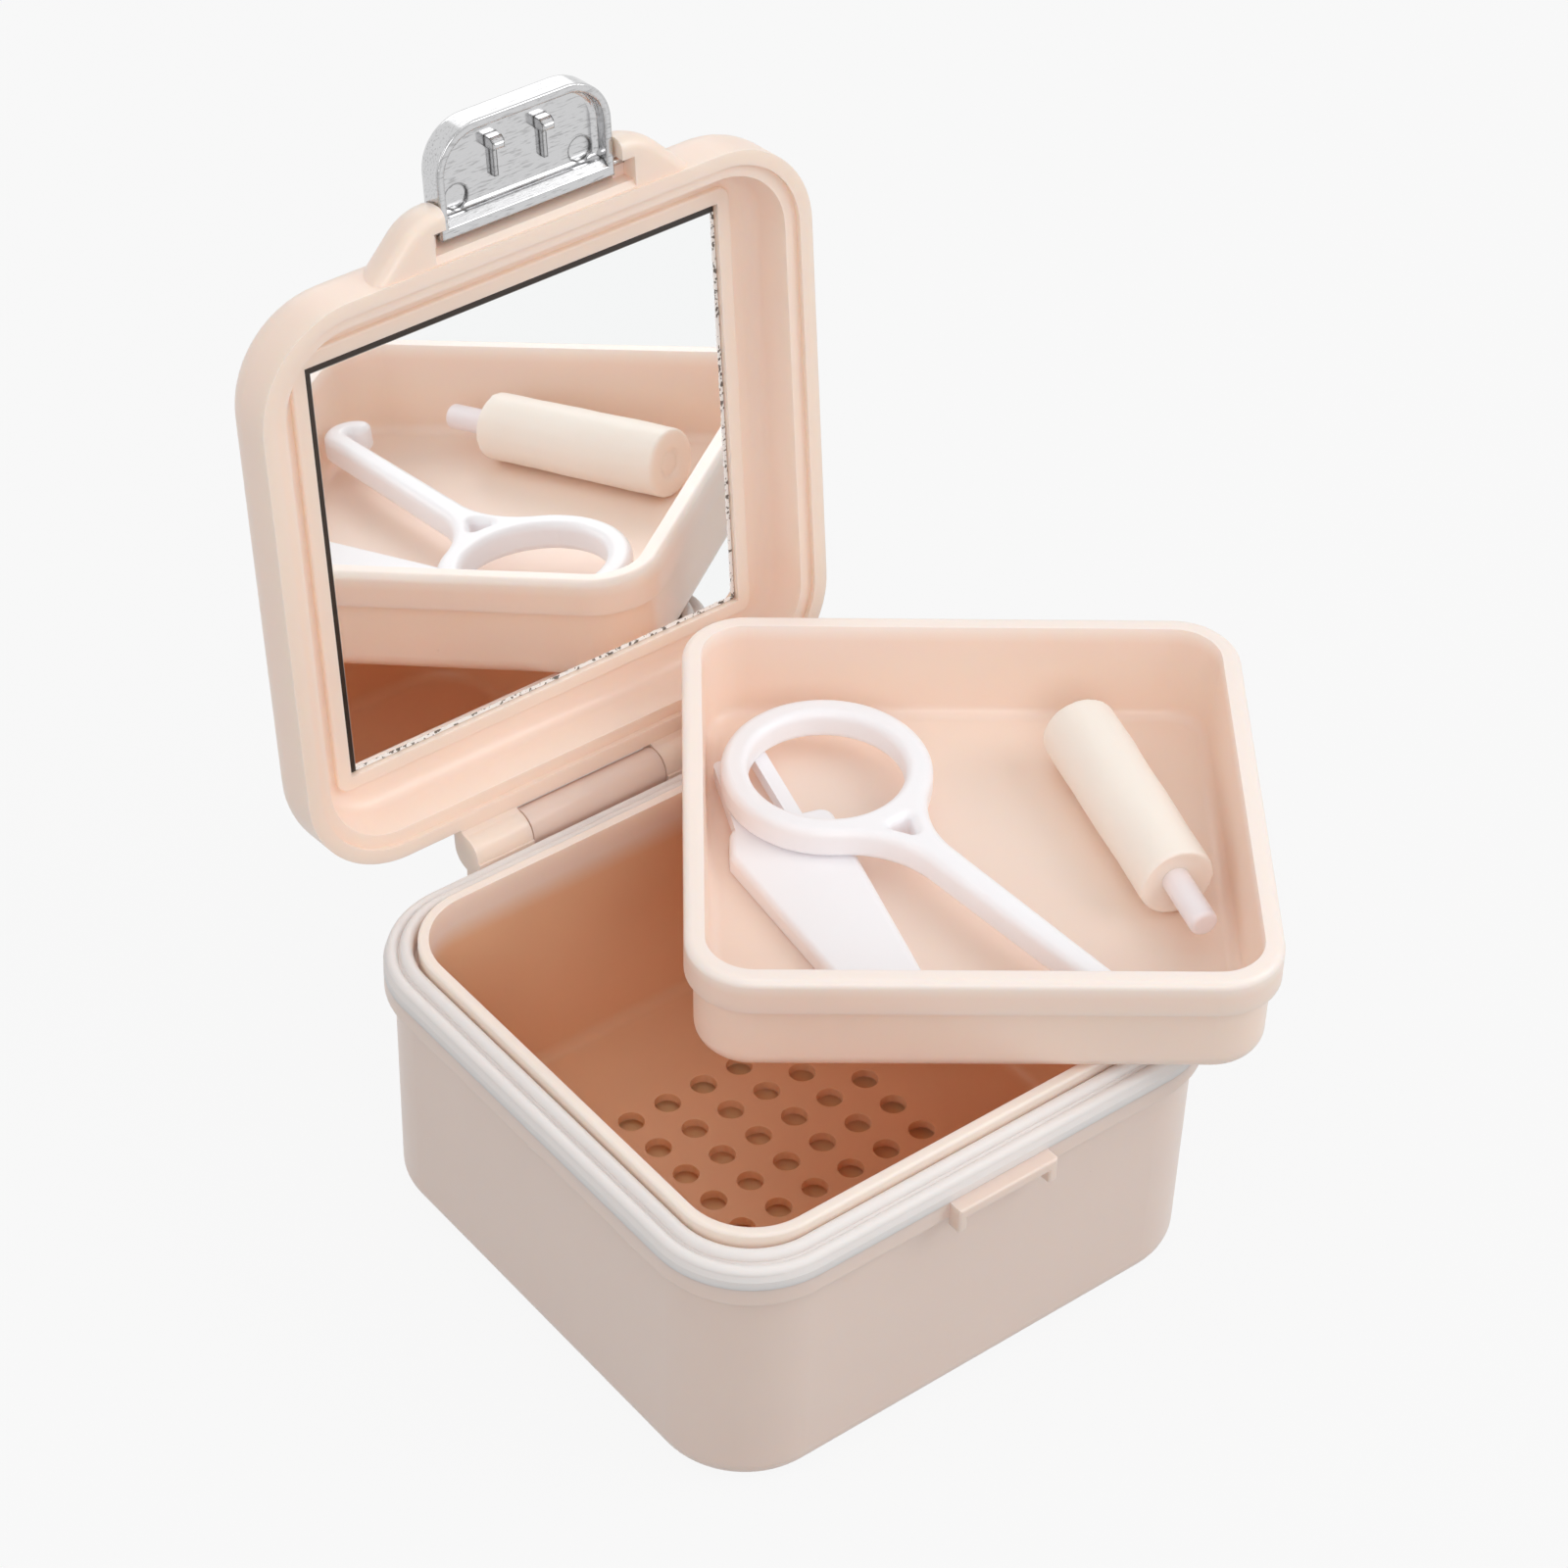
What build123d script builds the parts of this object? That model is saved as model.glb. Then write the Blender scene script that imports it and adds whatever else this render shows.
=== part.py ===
from build123d import *
from math import atan2, cos, degrees, radians, sin, sqrt, tan
import os

# Retainer case with its lid open and its accessory tray laid across the open rim.
# Millimetres. The origin is the middle of the base's underside, +Z up, +X along the
# hinge, +Y towards the hinge, so the catch is at the front, on -Y.

# Base shell
CASE_X = 90.0            # width over the outer wall at the rim
CASE_Y = 88.0            # depth over the outer wall at the rim
CASE_CORNER = 14.0       # radius of the outer wall's upright corners
RIM_Z = 40.0             # height of the rim
FLANGE_OUT = 1.5         # how far the rim stands out past the wall
FLANGE_H = 3.2
WALL = 2.0
WALL_DRAFT = 0.5         # degrees that the moulded walls lean
ROOT = 1.0               # how far a tab or web runs into the wall that carries it
PAST = 1.0               # how far a cut runs past the face it opens
FLOOR = 3.4              # the base's floor, thick so that the case stands firm
BOTTOM_ROUND = 3.0

# Strainer basket, hung on the rim inside the base
BASKET_GAP = 1.1         # from the base's inner wall to the basket's wall
BASKET_WALL = 1.6
BASKET_CORNER = 10.2     # inside corner radius
BASKET_LIP_Z = 5.3       # height of the basket's lip above the rim
BASKET_FLOOR_Z = 6.0     # top of the perforated floor
BASKET_FLOOR = 1.5
BASKET_FOOT_ROUND = 2.0
COLLAR_OUT = 1.9         # how far the basket's collar reaches over the rim
COLLAR_H = 0.9
HOLE_DIA = 4.0
HOLE_PITCH = 6.72
HOLE_ROWS = 7

# Silicone seal on the rim, outside the basket's lip
SEAL_PEAK = 4.2          # top of its inner rib, above the rim
SEAL_STEP = 3.2          # top of its outer rib
SEAL_EDGE = 1.4          # height of its outer edge
SEAL_LEAN = 0.3          # how far its outer face leans in
SEAL_RIB = 0.95          # radius of the ribs
SEAL_FIT = 0.3

# Lid, described as it lies when closed
LIP_GAP = 3.5            # from the rim up to the lid's lip
LIP_FLAT = 2.2           # width of the lip
LEDGE_STEP = 0.9         # step from the lip up to the ledge that covers the seal
LEDGE_W = 2.0
LID_DEPTH = 7.1          # from the ledge up to the lid's inner floor
LID_LEAN = 1.0           # how far the inner wall leans in over that depth
LID_TOP = 3.2            # lid thickness behind the inner floor
LID_CROWN = 5.8          # radius of the lid's outer edge
LID_FOOT_ROUND = 2.5
OPEN_ANGLE = 96.2        # the lid's angle from closed, as it stands in the rest pose

# Mirror in the lid
MIRROR_MARGIN_X = 6.4    # from the lid's inner wall to the mirror's edge, left and right
MIRROR_MARGIN_Y = 6.7    # the same, front and back
MIRROR_THICK = 1.8
PAD_THICK = 0.3
PAD_INSET = 2.0
MIRROR_FIT = 0.12
FRAME_W = 2.4
FRAME_H = 0.9
FRAME_CORNER = 2.0

# Hinge
HINGE_OUT = 3.7          # hinge axis behind the rim's back face
HINGE_UP = 2.6           # hinge axis above the rim
BARREL_R = 3.0
HINGE_HALF = 22.0        # half the length of the hinge
KNUCKLE_HALF = 12.0      # half the length of the base's middle knuckle
KNUCKLE_GAP = 0.25
HINGE_PIN_R = 0.9
HINGE_PIN_IN = 1.2       # wall that closes the outer knuckles over the pin's ends
PIN_RUNNING = 0.04       # radial clearance of a pin in the knuckle that turns on it
PIN_SEAT = 0.02          # radial clearance of a pin in the piece that holds it
HEEL_GAP = 0.3           # from the lid's stop heels to the base when the lid is open
HEEL_UP = 1.5            # heels' lower edge above the flange's underside
HEEL_CHAMFER = 1.0
COVE_GAP = 0.3           # from the base's knuckle to the lid's hollow fillet round it
WEB_FOOT = 0.6           # how far the base's web runs level before it rises to its knuckle
ARM_RISE = 1.5           # how far the lid's webs climb past the barrel on the lid's back

# Front tab of the lid and the clasp that swings in it
TAB_OUT = 7.7            # how far the tab stands out past the lid's front
TAB_FOOT = 26.3          # half its width where it leaves the lid, at 45 degrees
TAB_BEND = 9.0           # radius that leads each flank into its front edge
TAB_SINK = 4.0           # how far its flanks run on into the lid
TAB_TOP_DROP = 1.9       # tab's top below the lid's top
TAB_PLATE = 1.5          # thickness of the tab's top over the clasp
TAB_UNDER = 0.4          # tab's underside above the lid's lip
TAB_ROUND = 1.6          # rounding of its edges on the lip's side
TAB_CROWN = 7.0          # rounding of its back edges, like the lid's own
SLOT_WALL = 1.0          # wall left between the clasp's slot and the lid's front
SLOT_BEVEL = 0.8         # bevel along that wall's edge
CLASP_OUT = 3.4          # clasp axis in front of the lid's front face
CLASP_DROP = 4.5         # clasp axis below the mirror's face
CLASP_HALF = 14.4
CLASP_SIDE_GAP = 0.3
CLASP_LENGTH = 14.7      # from the axis to the clasp's free end
CLASP_CORNER = 7.2
CLASP_SKIN = 3.7         # from the axis out to the clasp's outer skin
CLASP_RIM = 1.5          # from the axis in to the rim of the clasp's hollow side
CLASP_WALL = 1.2
CLASP_FLOOR = 3.0        # thickness of its skin, behind the hollow
CLASP_END_WALL = 1.4
CLASP_BACK = 1.3         # how far the clasp's root reaches behind the axis
CLASP_ROOT_IN = 1.3      # from the axis to the inside of its root wall
CLASP_PIN_R = 0.7
PIN_SUNK = 0.25          # how far the pin's axis lies below the floor of its open notches
CLASP_PIN_IN = 2.0       # how far the pin reaches into each side of the tab
CLASP_ROUND = 2.0        # rounding of its outer skin's edges
CLASP_FOOT_ROUND = 0.9   # rounding round the floor of its hollow
HOOK_X = 4.1
HOOK_W = 2.0
HOOK_T = 1.7
HOOK_ROUND = 0.5
HOOK_UNDER = 0.5         # how far the hooks reach in behind the catch bar's front face
HOOK_GAP = 0.2           # from the catch bar's underside to the closed hooks
RIB_H = 1.0              # height of the rib on the clasp's skin below each hook
RIB_LENGTH = 4.5
DIMPLE_X = 10.3
DIMPLE_Y = 3.3
DIMPLE_DIA = 3.8
DIMPLE_DEEP = 0.8

# Catch bar on the front of the rim
CATCH_HALF = 8.7
CATCH_OUT = 2.3
CATCH_H = 1.9
CATCH_TAB_W = 1.4
CATCH_TAB_H = 4.1
CATCH_STEP = 0.2         # the tabs' roots end this far above the flange's underside
CATCH_ROUND = 0.4

# Accessory tray. Stowed, its body drops into the basket and its lip rests on the basket's lip.
TRAY_FIT = 0.5           # from the basket's wall to the tray's body
TRAY_LIP_OUT = 1.4
TRAY_LIP_H = 5.7
TRAY_HEIGHT = 17.8
TRAY_LIP_W = 2.8
TRAY_CORNER = 9.6
TRAY_FLOOR = 2.0
TRAY_LEAN = 1.0          # how far the inner wall leans in down to the floor
TRAY_ROUND = 2.7
TRAY_INNER_ROUND = 2.0
TRAY_REST_GAP = 0.15     # from the basket's lip to the tray laid across it
TRAY_YAW = -36.74        # how far the tray is turned as it lies across the case
TRAY_ACROSS = 14.65      # from the case's right wall in to the tray's centre
TRAY_LID_GAP = 0.4       # from the tray's back corner to the open lid
LAY = 0.1                # clearance under each piece that lies on another

# Ring tool, laid out from the tray's left and back inner walls
RING_RIGHT = 18.3        # the ring's centre, from the left wall
RING_FRONT = 22.3        # the same, from the back wall
RING_R = 15.5            # outside radius of the finger ring
RING_BAND = 4.0          # width of the ring
RING_THICK = 4.9
STEM_ANGLE = -50.5       # direction of the stem
STEM_W0 = 5.0            # width, drawn on to the ring's centre
STEM_W1 = 3.8            # width at the hook
STEM_FLARE = 15.0        # radius where the stem runs into the ring
EYE_SIDE = 3.58          # plastic on either side of the small three-cornered hole where they meet
EYE_L = 4.2
EYE_ROUND = 0.6
HOOK_BEND = 2.7          # radius of the hook at the stem's end
HOOK_SWEEP = 150.0
HOOK_CLEAR = 1.8         # from the hook to the tray's front wall

# Flat tool, laid out from the same walls
FLAT_THICK = 3.0
FLAT_ROUND = 1.1
FLAT_RIGHT = 4.1         # its left corner, from the left wall
FLAT_FRONT = 30.8        # the same corner, from the back wall
FLAT_ROOT_W = 14.6       # width of the slanted root that carries the prongs
FLAT_ROOT_RISE = 5.4     # how far that root slants
FLAT_HEEL = 6.1          # short side down from the left corner
FLAT_END_SHIFT = 17.8    # blunt end's left corner, from the root's
FLAT_END_W = 11.5
FLAT_END_GAP = 6.4       # from the blunt end to the tray's front wall
PRONG_W = 2.2
PRONG_THICK = 2.2
PRONG_UP = 0.8           # prongs' underside above the tool's
PRONG_LEFT_LENGTH = 17.3
PRONG_LEFT_ANGLE = 102.0
PRONG_RIGHT_LENGTH = 18.9
PRONG_RIGHT_ANGLE = 110.4
PRONG_LEFT_IN = 2.3      # left prong's root, from the tool's left corner
PRONG_RIGHT_IN = 10.3    # right prong's root, from the same corner
PRONG_SINK = 2.1         # how far the left prong's root sits in the tool
PRONG_RIGHT_RISE = 0.9   # right prong's root above the left corner

# Chewing roll on its stick, laid out from the right and back inner walls
ROLL_R = 5.8
ROLL_LEFT = 21.0         # middle of the roll's far end, from the right wall
ROLL_FRONT = 11.2        # the same, from the back wall
ROLL_ANGLE = -71.1
ROLL_ROUND = 0.9
ROLL_LENGTH = 36.5
ROLL_MOUTH_R = 4.3
ROLL_MOUTH_DEPTH = 1.6
STICK_R = 2.1
STICK_ROUND = 0.7
STICK_FIT = 0.05
STICK_IN = 22.0
STICK_OUT = 9.2

# Worked out from the sizes above
WALL_HX = CASE_X / 2
WALL_HY = CASE_Y / 2
RIM_HX = WALL_HX + FLANGE_OUT
RIM_HY = WALL_HY + FLANGE_OUT
RIM_CORNER = CASE_CORNER + FLANGE_OUT
BASKET_HX = WALL_HX - WALL - BASKET_GAP     # basket's outer wall
BASKET_HY = WALL_HY - WALL - BASKET_GAP
CAVITY_HX = BASKET_HX - BASKET_WALL         # basket's inside
CAVITY_HY = BASKET_HY - BASKET_WALL
LIP_Z = RIM_Z + BASKET_LIP_Z
HINGE_Y = RIM_HY + HINGE_OUT
HINGE_Z = RIM_Z + HINGE_UP
LID_Z = RIM_Z + LIP_GAP                     # lid's lip, closed
LEDGE_Z = LID_Z + LEDGE_STEP
MIRROR_Z = LEDGE_Z + LID_DEPTH              # lid's inner floor, flush with the mirror's face
TOP_Z = MIRROR_Z + LID_TOP
MOUTH_HX = RIM_HX - LIP_FLAT - LEDGE_W      # lid's inner wall at the ledge
MOUTH_HY = RIM_HY - LIP_FLAT - LEDGE_W
MIRROR_HX = MOUTH_HX - LID_LEAN - MIRROR_MARGIN_X
MIRROR_HY = MOUTH_HY - LID_LEAN - MIRROR_MARGIN_Y
CLASP_Y = -RIM_HY - CLASP_OUT               # clasp axis, lid closed
CLASP_Z = MIRROR_Z - CLASP_DROP
SLOT_HALF = CLASP_HALF + CLASP_SIDE_GAP
HOOK_TIP = CLASP_OUT - CATCH_OUT + HOOK_UNDER    # hook height, measured from the axis
HOOK_A = CLASP_Z - (RIM_Z - CATCH_H) + HOOK_GAP
HINGE_AXIS = Axis((0, HINGE_Y, HINGE_Z), (1, 0, 0))
LID_BACK_LEAN = radians(OPEN_ANGLE - 90)    # how far the open lid leans back
TRAY_HX = CAVITY_HX - TRAY_FIT + TRAY_LIP_OUT
TRAY_HY = CAVITY_HY - TRAY_FIT + TRAY_LIP_OUT
TRAY_Z = LIP_Z + TRAY_REST_GAP
TRAY_LIP_UNDER = TRAY_Z + TRAY_HEIGHT - TRAY_LIP_H
TRAY_IN_HX = TRAY_HX - TRAY_LIP_W
TRAY_IN_HY = TRAY_HY - TRAY_LIP_W
TRAY_REACH = ((TRAY_HX - TRAY_CORNER) * sin(radians(-TRAY_YAW))
              + (TRAY_HY - TRAY_CORNER) * cos(radians(-TRAY_YAW)) + TRAY_CORNER)
LID_FACE_Y = (HINGE_Y + (TRAY_LIP_UNDER - HINGE_Z) * tan(LID_BACK_LEAN)
              + (LID_Z - HINGE_Z) / cos(LID_BACK_LEAN))    # open lid's lip, at the tray's lip
TRAY_X = WALL_HX - TRAY_ACROSS
TRAY_Y = LID_FACE_Y - TRAY_LID_GAP - TRAY_REACH
RING_HOLE_R = RING_R - RING_BAND
RING_ROUND = RING_BAND / 3                  # rounding of its edges, over and under
FLARE_X = sqrt((RING_R + STEM_FLARE) ** 2
               - (STEM_W0 / 2 + STEM_FLARE) ** 2)   # middle of the flare's arc, along the stem
FLARE_HALF = (STEM_W0 / 2 + STEM_FLARE
              - sqrt(STEM_FLARE ** 2 - (FLARE_X - RING_R) ** 2))    # half width at the ring
EYE_W = 2 * (FLARE_HALF - EYE_SIDE)
RING_X = RING_RIGHT - TRAY_IN_HX
RING_Y = TRAY_IN_HY - RING_FRONT
STEM_TURN = radians(-STEM_ANGLE)
STEM_END = (RING_Y + TRAY_IN_HY - HOOK_CLEAR - STEM_W1 / 2
            - HOOK_BEND * (1 - cos(STEM_TURN))) / sin(STEM_TURN)    # from the ring to the hook
FLAT_X = FLAT_RIGHT - TRAY_IN_HX
FLAT_Y = TRAY_IN_HY - FLAT_FRONT
FLAT_Z = TRAY_FLOOR + LAY
RING_Z = FLAT_Z + FLAT_THICK + LAY
ROLL_X = TRAY_IN_HX - ROLL_LEFT
ROLL_Y = TRAY_IN_HY - ROLL_FRONT
ROLL_Z = TRAY_FLOOR + LAY + ROLL_R


def slab(half_x, half_y, corner, bottom, top, draft=0.0):
    """Rounded block that narrows towards its bottom by the draft, in degrees."""
    face = Plane.XY.offset(top) * RectangleRounded(2 * half_x, 2 * half_y, corner)
    return extrude(face, top - bottom, dir=(0, 0, -1), taper=draft)


def dome(half_x, half_y, corner, bottom, top, lean):
    """Rounded block that narrows towards its top by the lean, in millimetres."""
    face = Plane.XY.offset(bottom) * RectangleRounded(2 * half_x, 2 * half_y, corner)
    return extrude(face, top - bottom, dir=(0, 0, 1), taper=degrees(atan2(lean, top - bottom)))


def block(x0, x1, y0, y1, z0, z1):
    """Plain block between two corners."""
    middle = ((x0 + x1) / 2, (y0 + y1) / 2, (z0 + z1) / 2)
    return Pos(*middle) * Box(x1 - x0, y1 - y0, z1 - z0)


def rod(radius, x0, x1, y, z):
    """Round bar along X."""
    return Pos((x0 + x1) / 2, y, z) * Rot(0, 90, 0) * Cylinder(radius, x1 - x0)


def prism_x(points, x0, x1):
    """Outline of (y, z) points, drawn out along X."""
    outline = make_face(Polyline(*points, close=True))
    plane = Plane(origin=(x0, 0, 0), x_dir=(0, 1, 0), z_dir=(1, 0, 0))
    return extrude(plane * outline, x1 - x0)


def top_edges(part):
    return part.faces().sort_by(Axis.Z)[-1].edges()


def bottom_edges(part):
    return part.faces().sort_by(Axis.Z)[0].edges()


def open_lid(part):
    """Turns a piece of the closed lid to where it stands in the rest pose."""
    return part.rotate(HINGE_AXIS, -OPEN_ANGLE)


def in_tray(part):
    """Places a piece drawn in the tray's own directions."""
    return Pos(TRAY_X, TRAY_Y, TRAY_Z) * Rot(0, 0, TRAY_YAW) * part


def catch_bar():
    """Bar on the rim's front face that the clasp closes over, with a short tab at each end."""
    front = -RIM_HY - CATCH_OUT
    bar = block(-CATCH_HALF, CATCH_HALF, front, ROOT - RIM_HY, RIM_Z - CATCH_H, RIM_Z)
    for side in (-1, 1):
        outer = side * CATCH_HALF
        inner = side * (CATCH_HALF - CATCH_TAB_W)
        left = min(outer, inner)
        right = max(outer, inner)
        bar += block(left, right, front, ROOT - RIM_HY, RIM_Z - FLANGE_H + CATCH_STEP, RIM_Z)
        bar += block(left, right, front, -RIM_HY, RIM_Z - CATCH_TAB_H, RIM_Z)
    return fillet(bar.faces().sort_by(Axis.Y)[0].edges(), CATCH_ROUND)


def base_shell():
    """Base: a drafted tub with a rim flange, the hinge's middle knuckle and the catch bar."""
    tub = slab(WALL_HX, WALL_HY, CASE_CORNER, 0, RIM_Z, WALL_DRAFT)
    tub = fillet(bottom_edges(tub), BOTTOM_ROUND)
    rim = slab(RIM_HX, RIM_HY, RIM_CORNER, RIM_Z - FLANGE_H, RIM_Z)
    rim = fillet(bottom_edges(rim), FLANGE_OUT / 3)
    inside = slab(WALL_HX - WALL, WALL_HY - WALL, CASE_CORNER - WALL, FLOOR, RIM_Z + PAST,
                  WALL_DRAFT)
    inside = fillet(bottom_edges(inside), BOTTOM_ROUND - ROOT)
    foot = RIM_HY + WEB_FOOT
    web = prism_x([(RIM_HY - ROOT, RIM_Z - FLANGE_H), (RIM_HY - ROOT, RIM_Z), (foot, RIM_Z),
                   (HINGE_Y - BARREL_R * 0.8, HINGE_Z + BARREL_R * 0.6), (HINGE_Y, HINGE_Z),
                   (HINGE_Y, HINGE_Z - BARREL_R), (foot, RIM_Z - FLANGE_H)],
                  -KNUCKLE_HALF, KNUCKLE_HALF)
    knuckle = rod(BARREL_R, -KNUCKLE_HALF, KNUCKLE_HALF, HINGE_Y, HINGE_Z)
    bore = rod(HINGE_PIN_R + PIN_SEAT, -KNUCKLE_HALF - PAST, KNUCKLE_HALF + PAST,
               HINGE_Y, HINGE_Z)
    return tub + rim + catch_bar() + web + knuckle - inside - bore


def drain_holes():
    """Square grid of round holes, as one cutting solid."""
    below = BASKET_FLOOR_Z - BASKET_FLOOR - PAST
    spots = GridLocations(HOLE_PITCH, HOLE_PITCH, HOLE_ROWS, HOLE_ROWS)
    grid = Plane.XY.offset(below) * (Sketch() + spots * Circle(HOLE_DIA / 2))
    return extrude(grid, BASKET_FLOOR + 2 * PAST, dir=(0, 0, 1))


def strainer_basket():
    """Inner tub with drain holes in its floor and a collar that hangs on the base's rim."""
    outer_corner = BASKET_CORNER + BASKET_WALL
    base = BASKET_FLOOR_Z - BASKET_FLOOR
    body = slab(BASKET_HX, BASKET_HY, outer_corner, base, LIP_Z, WALL_DRAFT)
    body = fillet(bottom_edges(body), BOTTOM_ROUND)
    body = fillet(top_edges(body), BASKET_WALL * 0.3)
    collar = slab(BASKET_HX + COLLAR_OUT, BASKET_HY + COLLAR_OUT, outer_corner + COLLAR_OUT,
                  RIM_Z, RIM_Z + COLLAR_H)
    inside = slab(CAVITY_HX, CAVITY_HY, BASKET_CORNER, BASKET_FLOOR_Z, LIP_Z, WALL_DRAFT)
    inside = fillet(bottom_edges(inside), BASKET_FOOT_ROUND)
    return body + collar - inside - drain_holes()


def rim_seal():
    """Silicone ring with two rounded ribs, lying on the rim and over the basket's collar."""
    inner = BASKET_HX + SEAL_FIT
    outer = RIM_HX - SEAL_LEAN
    notch = BASKET_HX + COLLAR_OUT + SEAL_FIT
    high = (inner + SEAL_RIB, RIM_Z + SEAL_PEAK - SEAL_RIB)
    low = (outer - SEAL_RIB, RIM_Z + SEAL_STEP - SEAL_RIB)
    body = make_face(Polyline((notch, RIM_Z), (RIM_HX, RIM_Z), (RIM_HX, RIM_Z + SEAL_EDGE),
                              (outer, low[1]), low, high, (inner, high[1]),
                              (inner, RIM_Z + COLLAR_H), (notch, RIM_Z + COLLAR_H), close=True))
    section = body + Pos(*high) * Circle(SEAL_RIB) + Pos(*low) * Circle(SEAL_RIB)
    outline = RectangleRounded(2 * RIM_HX, 2 * RIM_HY, RIM_CORNER).wire()
    return sweep(Plane.XZ * section, path=Pos(0, 0, RIM_Z) * outline,
                 transition=Transition.ROUND)


def hinge_pin():
    """Steel pin through all the hinge's knuckles."""
    reach = HINGE_HALF - HINGE_PIN_IN
    return rod(HINGE_PIN_R, -reach, reach, HINGE_Y, HINGE_Z)


def tab_outline():
    """Plan of the lid's front tab: sloping flanks, rounded into a straight front edge."""
    front = -RIM_HY - TAB_OUT
    corner = TAB_FOOT - TAB_OUT
    deep = TAB_FOOT + TAB_SINK
    outline = make_face(Polyline((-corner, front), (corner, front), (deep, TAB_SINK - RIM_HY),
                                 (deep, -RIM_HY / 2), (-deep, -RIM_HY / 2),
                                 (-deep, TAB_SINK - RIM_HY), close=True))
    return fillet(outline.vertices().group_by(Axis.Y)[0], TAB_BEND)


def front_tab():
    """Tab that carries the clasp: two cheeks, with a thin top over the clasp's root."""
    under = LID_Z + TAB_UNDER
    top = TOP_Z - TAB_TOP_DROP
    tab = extrude(Plane.XY.offset(under) * tab_outline(), top - under, dir=(0, 0, 1))
    tab = fillet(bottom_edges(tab), TAB_ROUND)
    tab = fillet(top_edges(tab), TAB_CROWN)
    reach = SLOT_HALF + CLASP_PIN_IN
    return tab - tab_slot() - rod(CLASP_PIN_R + PIN_SEAT, -reach, reach, CLASP_Y, CLASP_Z)


def tab_slot():
    """Space in the tab that the clasp's root swings in, with a notch for each end of its pin."""
    inner = -RIM_HY - SLOT_WALL
    top = TOP_Z - TAB_TOP_DROP - TAB_PLATE
    slot = block(-SLOT_HALF, SLOT_HALF, -RIM_HY - TAB_OUT - PAST, inner, LID_Z - PAST, top)
    reach = SLOT_HALF + CLASP_PIN_IN
    slot += block(-reach, reach, CLASP_Y - 2 * CLASP_PIN_R, inner, LID_Z - PAST,
                  CLASP_Z - PIN_SUNK)
    under = LID_Z + TAB_UNDER
    return slot + prism_x([(inner - ROOT, LID_Z - PAST), (inner + SLOT_BEVEL, LID_Z - PAST),
                           (inner + SLOT_BEVEL, under), (inner, under + SLOT_BEVEL),
                           (inner - ROOT, under + SLOT_BEVEL)], -reach, reach)


def lid_knuckles():
    """Hinge knuckles at each side of the base's, with the webs that carry them."""
    inner = KNUCKLE_HALF + KNUCKLE_GAP
    crown = HINGE_Z + BARREL_R
    arms = None
    for side in (-1, 1):
        x0 = min(side * inner, side * HINGE_HALF)
        x1 = max(side * inner, side * HINGE_HALF)
        arm = rod(BARREL_R, x0, x1, HINGE_Y, HINGE_Z)
        arm += prism_x([(RIM_HY - ROOT, LID_Z), (RIM_HY - ROOT, crown + ARM_RISE),
                        (RIM_HY, crown + ARM_RISE), (RIM_HY + ARM_RISE, crown), (HINGE_Y, crown),
                        (HINGE_Y, HINGE_Z), (HINGE_Y - BARREL_R * 0.7, HINGE_Z - BARREL_R * 0.7),
                        (RIM_HY + HEEL_GAP, LID_Z)], x0, x1)
        arms = arm if arms is None else arms + arm
    return arms


def barrel_cove():
    """Hollow fillet on the lid's back that closes round the base's knuckle."""
    half = KNUCKLE_HALF + KNUCKLE_GAP
    edge = HINGE_Y - BARREL_R + COVE_GAP
    cove = prism_x([(RIM_HY - ROOT, LID_Z), (edge - 2 * COVE_GAP, LID_Z), (edge, HINGE_Z + BARREL_R / 2),
                    (edge + BARREL_R / 2, HINGE_Z + BARREL_R + COVE_GAP),
                    (RIM_HY - ROOT, HINGE_Z + BARREL_R + ARM_RISE)], -half, half)
    return cove - rod(BARREL_R + COVE_GAP, -HINGE_HALF, HINGE_HALF, HINGE_Y, HINGE_Z)


def stop_heels():
    """Heels on the lid's knuckles that meet the rim's back when the lid is fully open."""
    inner = KNUCKLE_HALF + KNUCKLE_GAP
    face = RIM_HY + HEEL_GAP
    low = RIM_Z - FLANGE_H + HEEL_UP
    heels = None
    for side in (-1, 1):
        x0 = min(side * inner, side * HINGE_HALF)
        x1 = max(side * inner, side * HINGE_HALF)
        heel = prism_x([(face, low + HEEL_CHAMFER), (face, HINGE_Z), (HINGE_Y, HINGE_Z),
                        (HINGE_Y, low), (face + HEEL_CHAMFER, low)], x0, x1)
        heels = heel if heels is None else heels + heel
    return heels.rotate(HINGE_AXIS, OPEN_ANGLE)


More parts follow.
